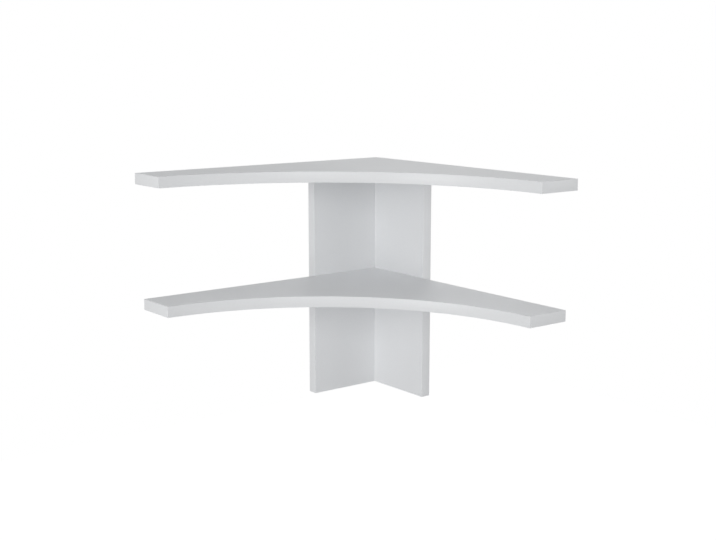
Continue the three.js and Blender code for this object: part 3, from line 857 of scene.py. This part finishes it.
def cam_bolt_hole():
    thread = BOLT_CREST_DIAMETER / 2 + FIT
    bore = BOLT_COLLAR_DIAMETER / 2 + FIT
    end = BOLT_LENGTH + BOLT_HEAD_HEIGHT / 2
    return turned([
        (0, -FIT),
        (thread, -FIT),
        (thread, BOLT_THREAD_LENGTH),
        (bore, BOLT_THREAD_LENGTH),
        (bore, end),
        (0, end),
    ])


def rounded_slab(half_width, half_height, radius, from_height, to_height, steps):
    """A rounded rectangle about the Z axis."""
    bm = block(Vector((-half_width, -half_height, from_height)), Vector((half_width, half_height, to_height)))
    return rounded(bm, upright_edges(bm), radius, steps)


def round_ended_slab(half_width, half_height, from_height, to_height):
    """A slot's shape: a rectangle with full round ends."""
    radius = half_width * FULL_ROUND
    return rounded_slab(half_width, half_height, radius, from_height, to_height, ROUND_STEPS // 4)


def keyhole(depth):
    """The keyhole's outline as two cutters: a round entry below and a slot rising from it."""
    low = -KEYHOLE_SLOT_RISE / 2
    entry = KEYHOLE_DIAMETER / 2
    slot = KEYHOLE_SLOT_WIDTH / 2
    hole = turned([(0, -OVERRUN), (entry, -OVERRUN), (entry, depth), (0, depth)])
    bmesh.ops.translate(hole, vec=(0, low, 0), verts=hole.verts)
    rise = round_ended_slab(slot, KEYHOLE_SLOT_RISE / 2 + slot / 2, -OVERRUN, depth)
    bmesh.ops.translate(rise, vec=(0, slot / 2, 0), verts=rise.verts)
    return [hole, rise]


def hanger_screw():
    """A small countersunk wood screw with a cross slot."""
    head = HANGER_SCREW_HEAD_DIAMETER / 2
    root = HANGER_SCREW_ROOT_DIAMETER / 2
    crest = HANGER_SCREW_CREST_DIAMETER / 2
    ridges = thread_profile(root, crest, HANGER_SCREW_PITCH, HANGER_SCREW_HEAD_HEIGHT + HANGER_SCREW_PITCH,
                            HANGER_SCREW_LENGTH - HANGER_SCREW_TIP_LENGTH)
    body = turned([
        (0, 0),
        (head, 0),
        (head, HANGER_SCREW_HEAD_RIM),
        (root, HANGER_SCREW_HEAD_HEIGHT),
        *ridges,
        (HANGER_SCREW_TIP_DIAMETER / 2, HANGER_SCREW_LENGTH - HANGER_SCREW_POINT),
        (0, HANGER_SCREW_LENGTH),
    ])
    cross = cross_bars(HANGER_SCREW_CROSS_LENGTH, HANGER_SCREW_CROSS_WIDTH, HANGER_SCREW_CROSS_DEPTH)
    return cut(body, cross)


def hanger_screw_hole():
    head = HANGER_SCREW_HEAD_DIAMETER / 2 + FIT
    crest = HANGER_SCREW_CREST_DIAMETER / 2 + FIT
    end = HANGER_SCREW_LENGTH + FIT
    return turned([
        (0, -OVERRUN),
        (head, -OVERRUN),
        (head, HANGER_SCREW_HEAD_RIM),
        (crest, HANGER_SCREW_HEAD_HEIGHT),
        (crest, end),
        (0, end),
    ])


def plate_size():
    low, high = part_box("back_hanger_plate")
    return high - low


def hanger_plate():
    """The plate with its corners rounded, its keyhole and its two countersunk holes."""
    size = plate_size()
    bm = rounded_slab(size.x / 2, size.z / 2, PLATE_CORNER_RADIUS, 0, size.y, PLATE_CORNER_STEPS)
    rounded(bm, level_edges(bm), PLATE_ARRIS, 1)
    holes = keyhole(size.y + OVERRUN)
    for rise in (PLATE_SCREW_SPACING / 2, -PLATE_SCREW_SPACING / 2):
        hole = hanger_screw_hole()
        bmesh.ops.translate(hole, vec=(0, rise, 0), verts=hole.verts)
        holes.append(hole)
    return cut(bm, holes)


def hanger_recess():
    """The plate's shallow bed and the deeper pocket behind its keyhole."""
    size = plate_size()
    bed = rounded_slab(size.x / 2 + FIT, size.z / 2 + FIT, PLATE_CORNER_RADIUS + FIT, -OVERRUN, size.y + FIT,
                       PLATE_CORNER_STEPS)
    radius = KEYHOLE_DIAMETER / 2 + POCKET_SIDE
    pocket = round_ended_slab(radius, KEYHOLE_SLOT_RISE / 2 + radius, -OVERRUN, POCKET_DEPTH)
    return [bed, pocket]


# The holes of each joint, placed where its fittings lie in the frame
def holes_along(nodes, along, make):
    return [placed(make(), start_of(node, along), along) for node in nodes]


def numbered(name, count):
    return [f"{name}_{i + 1}" for i in range(count)]


def dowel_measures(node, along):
    """A dowel's radius and length in the frame."""
    low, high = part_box(node)
    return min(high - low) / 2, length_along(node, along)


def dowel_holes(nodes, along):
    return holes_along(nodes, along, lambda: dowel_hole(*dowel_measures(nodes[0], along)))


def corner_holes():
    back = INTO_ROOM["back"]
    screws = holes_along(numbered("corner_screw", 3), back, connecting_screw_hole)
    return screws + dowel_holes(numbered("corner_dowel", 2), back)


def lower_shelf_holes(side):
    along = INTO_ROOM[side]
    screws = holes_along(numbered(f"{side}_shelf_screw", 2), along, connecting_screw_hole)
    return screws + dowel_holes([f"{side}_shelf_dowel"], along)


def top_shelf_holes(side):
    bolts = holes_along(numbered(f"{side}_cam_bolt", 2), DOWN, cam_bolt_hole)
    return bolts + dowel_holes(numbered(f"{side}_top_dowel", 2), DOWN)


def upright_holes(side):
    """Every hole of one upright's board."""
    along = INTO_ROOM[side]
    cams = holes_along(numbered(f"{side}_cam", 2), along, cam_hole)
    screws = holes_along(numbered(f"{side}_hanger_screw", 2), along, hanger_screw_hole)
    start = start_of(f"{side}_hanger_plate", along)
    recess = [placed(cutter, start, along) for cutter in hanger_recess()]
    return corner_holes() + lower_shelf_holes(side) + top_shelf_holes(side) + cams + screws + recess


def make_shelf(name, holes_of, band_material):
    """A shelf's board and its five bands."""
    shelf = Shelf(name)
    middle = shelf.underside + BOARD / 2
    foil = melamine_board(f"white_melamine_board_{name}", 2, middle)
    holes = holes_of("back") + holes_of("left")
    piece(name, cut(shelf_core(shelf), holes), foil)
    piece(f"{name}_front_band", front_band(shelf), band_material)
    straight = [
        ("back_band", Vector((0, 1, 0)), ("low",), "back"),
        ("left_band", Vector((-1, 0, 0)), (), "left"),
        ("right_end_band", Vector((1, 0, 0)), ("low", "high"), None),
        ("left_end_band", Vector((0, -1, 0)), ("low", "high"), None),
    ]
    for part, outward, ends, side in straight:
        through = holes_of(side) if side and name == "lower_shelf" else ()
        node = f"{name}_{part}"
        piece(node, straight_band(node, outward, ends, through), band_material)


def make_upright(side, axis, bands, band_material):
    """An upright's board, whose faces lie across an axis, and its bands."""
    node = f"{side}_upright"
    low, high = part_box(node)
    middle = (low[axis] + high[axis]) / 2
    foil = melamine_board(f"white_melamine_board_{node}", axis, middle)
    piece(node, cut(upright_core(low, high, axis), upright_holes(side)), foil)
    for part, outward, ends in bands:
        name = f"{node}_{part}"
        piece(name, straight_band(name, outward, ends), band_material)


def make_fittings():
    """Screws, dowels, cams, bolts and hanger plates, each in the place of its node."""
    steel = zinc_plated_steel("bright_zinc_plated_wire", WIRE_GRAIN, WIRE_RELIEF)
    sheet = zinc_plated_steel("bright_zinc_plated_sheet", SHEET_GRAIN, SHEET_RELIEF)
    casting = cast_zinc()
    rods = [beech(f"beech_dowel_rod_along_{'xyz'[axis]}", axis) for axis in range(3)]

    def fit(nodes, along, make, material):
        for node in nodes:
            piece(node, placed(make(), start_of(node, along), along), material)

    def fit_dowels(nodes, along):
        axis = max(range(3), key=lambda i: abs(along[i]))
        fit(nodes, along, lambda: dowel(*dowel_measures(nodes[0], along)), rods[axis])

    fit(numbered("corner_screw", 3), INTO_ROOM["back"], connecting_screw, steel)
    fit_dowels(numbered("corner_dowel", 2), INTO_ROOM["back"])
    for side, along in INTO_ROOM.items():
        fit(numbered(f"{side}_shelf_screw", 2), along, connecting_screw, steel)
        fit_dowels([f"{side}_shelf_dowel"], along)
        fit(numbered(f"{side}_cam", 2), along, cam, casting)
        fit(numbered(f"{side}_cam_bolt", 2), DOWN, cam_bolt, steel)
        fit_dowels(numbered(f"{side}_top_dowel", 2), DOWN)
        fit([f"{side}_hanger_plate"], along, hanger_plate, sheet)
        fit(numbered(f"{side}_hanger_screw", 2), along, hanger_screw, steel)


def way_to(azimuth, elevation):
    """The way out from the unit, by degrees. Azimuth 0 faces the back wall and 90 faces the left wall."""
    flat = math.cos(math.radians(elevation))
    return Vector((
        math.sin(math.radians(azimuth)) * flat,
        -math.cos(math.radians(azimuth)) * flat,
        math.sin(math.radians(elevation)),
    ))


def make_camera():
    """The photograph's camera."""
    data = bpy.data.cameras.new("photograph_camera")
    data.sensor_width = SENSOR_WIDTH
    data.lens = FOCAL_PIXELS / PHOTO_WIDTH * SENSOR_WIDTH
    camera = bpy.data.objects.new("photograph_camera", data)
    camera.location = CAMERA_PLACE
    camera.rotation_mode = "QUATERNION"
    camera.rotation_quaternion = way_to(CAMERA_AZIMUTH, CAMERA_ELEVATION).to_track_quat("Z", "Y")
    bpy.context.scene.collection.objects.link(camera)
    bpy.context.scene.camera = camera


def seen_directly(tree):
    """One where the camera, a mirror or a pane looks, and nought for the light that falls on the object."""
    path = add(tree, "ShaderNodeLightPath")
    seen = path.outputs["Is Camera Ray"]
    for name in ("Is Glossy Ray", "Is Transmission Ray"):
        either = add(tree, "ShaderNodeMath", links={0: seen, 1: path.outputs[name]}, operation="MAXIMUM")
        seen = either.outputs[0]
    return seen


def make_surround():
    """An even light from all round, behind a background that the camera sees as white."""
    world = bpy.data.worlds.new("white_surround")
    world.use_nodes = True
    tree = world.node_tree
    tree.nodes.clear()
    light = add(tree, "ShaderNodeBackground", {"Color": srgb(SURROUND_TINT), "Strength": SURROUND_LEVEL})
    white = add(tree, "ShaderNodeBackground", {"Color": srgb("#FFFFFF"), "Strength": 1.0})
    both = add(tree, "ShaderNodeMixShader",
               links={0: seen_directly(tree), 1: light.outputs[0], 2: white.outputs[0]})
    add(tree, "ShaderNodeOutputWorld", links={"Surface": both.outputs[0]})
    bpy.context.scene.world = world


def make_floor():
    """A matt white floor, lifted to white where the camera looks."""
    bm = bmesh.new()
    bmesh.ops.create_grid(bm, x_segments=1, y_segments=1, size=FLOOR_SIZE / 2)
    bmesh.ops.translate(bm, vec=(unit_middle.x, unit_middle.y, FLOOR_HEIGHT), verts=bm.verts)
    mesh = bpy.data.meshes.new("studio_floor")
    bm.to_mesh(mesh)
    bm.free()
    material, tree = empty_material("white_studio_floor")
    matt = add(tree, "ShaderNodeBsdfDiffuse", {"Color": srgb(FLOOR_WHITE)})
    level = add(tree, "ShaderNodeMath", {1: FLOOR_LIFT}, {0: seen_directly(tree)}, operation="MULTIPLY")
    lift = add(tree, "ShaderNodeEmission", {"Color": srgb("#FFFFFF")}, {"Strength": level.outputs[0]})
    both = add(tree, "ShaderNodeAddShader", links={0: matt.outputs[0], 1: lift.outputs[0]})
    add(tree, "ShaderNodeOutputMaterial", links={"Surface": both.outputs[0]})
    mesh.materials.append(material)
    floor = bpy.data.objects.new("studio_floor", mesh)
    bpy.context.scene.collection.objects.link(floor)


def make_soft_box(name, azimuth, elevation, level):
    """A square soft box that faces the unit. Its watts follow from its level and its distance."""
    data = bpy.data.lights.new(name, "AREA")
    data.shape = "SQUARE"
    data.size = SOFT_BOX_SIZE
    data.energy = level * (math.pi * SOFT_BOX_DISTANCE) ** 2
    way = way_to(azimuth, elevation)
    lamp = bpy.data.objects.new(name, data)
    lamp.location = unit_middle + way * SOFT_BOX_DISTANCE
    lamp.rotation_mode = "QUATERNION"
    lamp.rotation_quaternion = way.to_track_quat("Z", "Y")
    bpy.context.scene.collection.objects.link(lamp)


bpy.context.scene.view_settings.view_transform = "Standard"
make_camera()
make_surround()
make_floor()
for lamp_name, lamp_values in SOFT_BOXES.items():
    make_soft_box(lamp_name, *lamp_values)

band_plastic = abs_edge_band()
make_shelf("top_shelf", top_shelf_holes, band_plastic)
make_shelf("lower_shelf", lower_shelf_holes, band_plastic)
make_upright("back", 1, [
    ("front_band", Vector((1, 0, 0)), ("low", "high")),
    ("corner_band", Vector((-1, 0, 0)), ("low", "high")),
    ("bottom_band", Vector((0, 0, -1)), ()),
], band_plastic)
make_upright("left", 0, [
    ("front_band", Vector((0, -1, 0)), ("low", "high")),
    ("bottom_band", Vector((0, 0, -1)), ()),
], band_plastic)
make_fittings()
